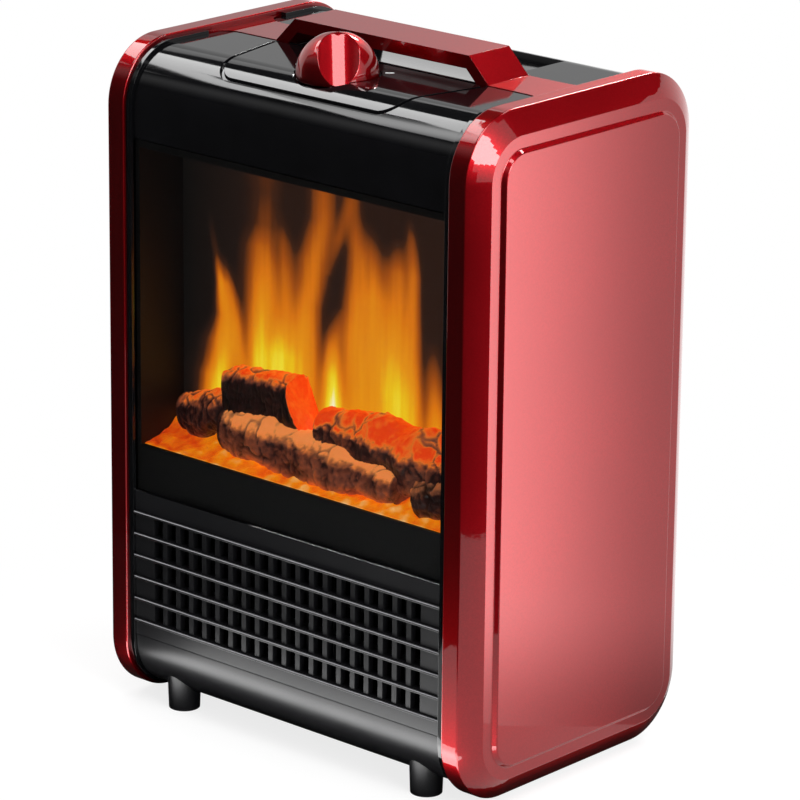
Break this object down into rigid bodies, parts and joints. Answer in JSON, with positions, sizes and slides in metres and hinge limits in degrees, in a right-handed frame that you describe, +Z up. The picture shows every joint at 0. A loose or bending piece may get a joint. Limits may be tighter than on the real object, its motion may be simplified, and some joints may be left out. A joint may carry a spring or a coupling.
{
  "type": "fan heater",
  "caption": "Portable fan heater with sloped side panels, a flame-effect log bed behind a window, a lower air grille, a top knob and a carrying handle.",
  "frame": {"origin": "on the floor below the middle of the heater", "axes": "+Z up, -Y out of the front window, +X to the viewer's right when facing the front"},
  "size_m": [0.215, 0.141, 0.3083],
  "materials": {
    "red_gloss": "candy red metallic under clear gloss",
    "black_gloss": "polished black",
    "black_satin": "satin black moulding",
    "clear_glass": "clear pane",
    "soot_black": "heat-resistant moulding, matt black",
    "flame_film": "translucent screen, lit from behind",
    "ember_resin": "translucent moulding painted as logs and embers",
    "steel": "zinc plated",
    "sheet_steel": "galvanised sheet",
    "bright_aluminium": "bright rolled",
    "circuit_board": "solder resist",
    "lamp_lens": "clear warm lens",
    "cream_plastic": "moulded",
    "orange_plastic": "moulded"
  },
  "bodies": {
    "case": {"left_side_panel": "red_gloss", "right_side_panel": "red_gloss", "handle": "red_gloss", "left_end_plate": "black_gloss", "right_end_plate": "black_gloss", "top_cover": "black_gloss", "control_plate": "black_gloss", "front_grille": "black_satin", "base_pan": "black_satin", "feet": "black_satin", "rear_cover": "black_satin", "cord_gland": "black_satin", "fan_shroud": "black_satin", "rotary_switch": "black_satin", "thermal_cutout": "black_satin", "tip_switch": "black_satin", "window_pane": "clear_glass", "firebox_liner": "soot_black", "heater_frame": "soot_black", "flame_screen": "flame_film", "log_bed": "ember_resin", "panel_screws": "steel", "handle_screws": "steel", "rear_screws": "steel", "fan_motor": "steel", "rotor_motor": "steel", "mid_shelf": "sheet_steel", "left_rotor_bracket": "sheet_steel", "right_rotor_bracket": "sheet_steel", "heater_core": "bright_aluminium", "lamp_board": "circuit_board", "lamp_leds": "lamp_lens", "terminal_block": "cream_plastic"},
    "knob_and_shaft": {"knob": "red_gloss", "switch_shaft": "steel"},
    "fan": {"fan_impeller": "black_satin"},
    "flame_spinner": {"flame_rotor": "bright_aluminium"},
    "tip_button": {"tip_plunger": "orange_plastic"}
  },
  "joints": [
    {"name": "knob_turn", "type": "hinge", "parent": "case", "child": "knob_and_shaft", "pos_m": [0, -0.0365, 0.291], "axis": [0, 0, 1], "range_deg": [0, 135]},
    {"name": "fan_spin", "type": "hinge", "parent": "case", "child": "fan", "pos_m": [0, 0.018, 0.05895], "axis": [0, 1, 0], "continuous": true},
    {"name": "flame_spin", "type": "hinge", "parent": "case", "child": "flame_spinner", "pos_m": [0, -0.0085, 0.1495], "axis": [1, 0, 0], "continuous": true},
    {"name": "tip_press", "type": "slide", "parent": "case", "child": "tip_button", "axis": [0, 0, 1], "range_m": [-0.004, 0], "stiffness_N_per_m": 250, "springref_m": -0.004}
  ]
}
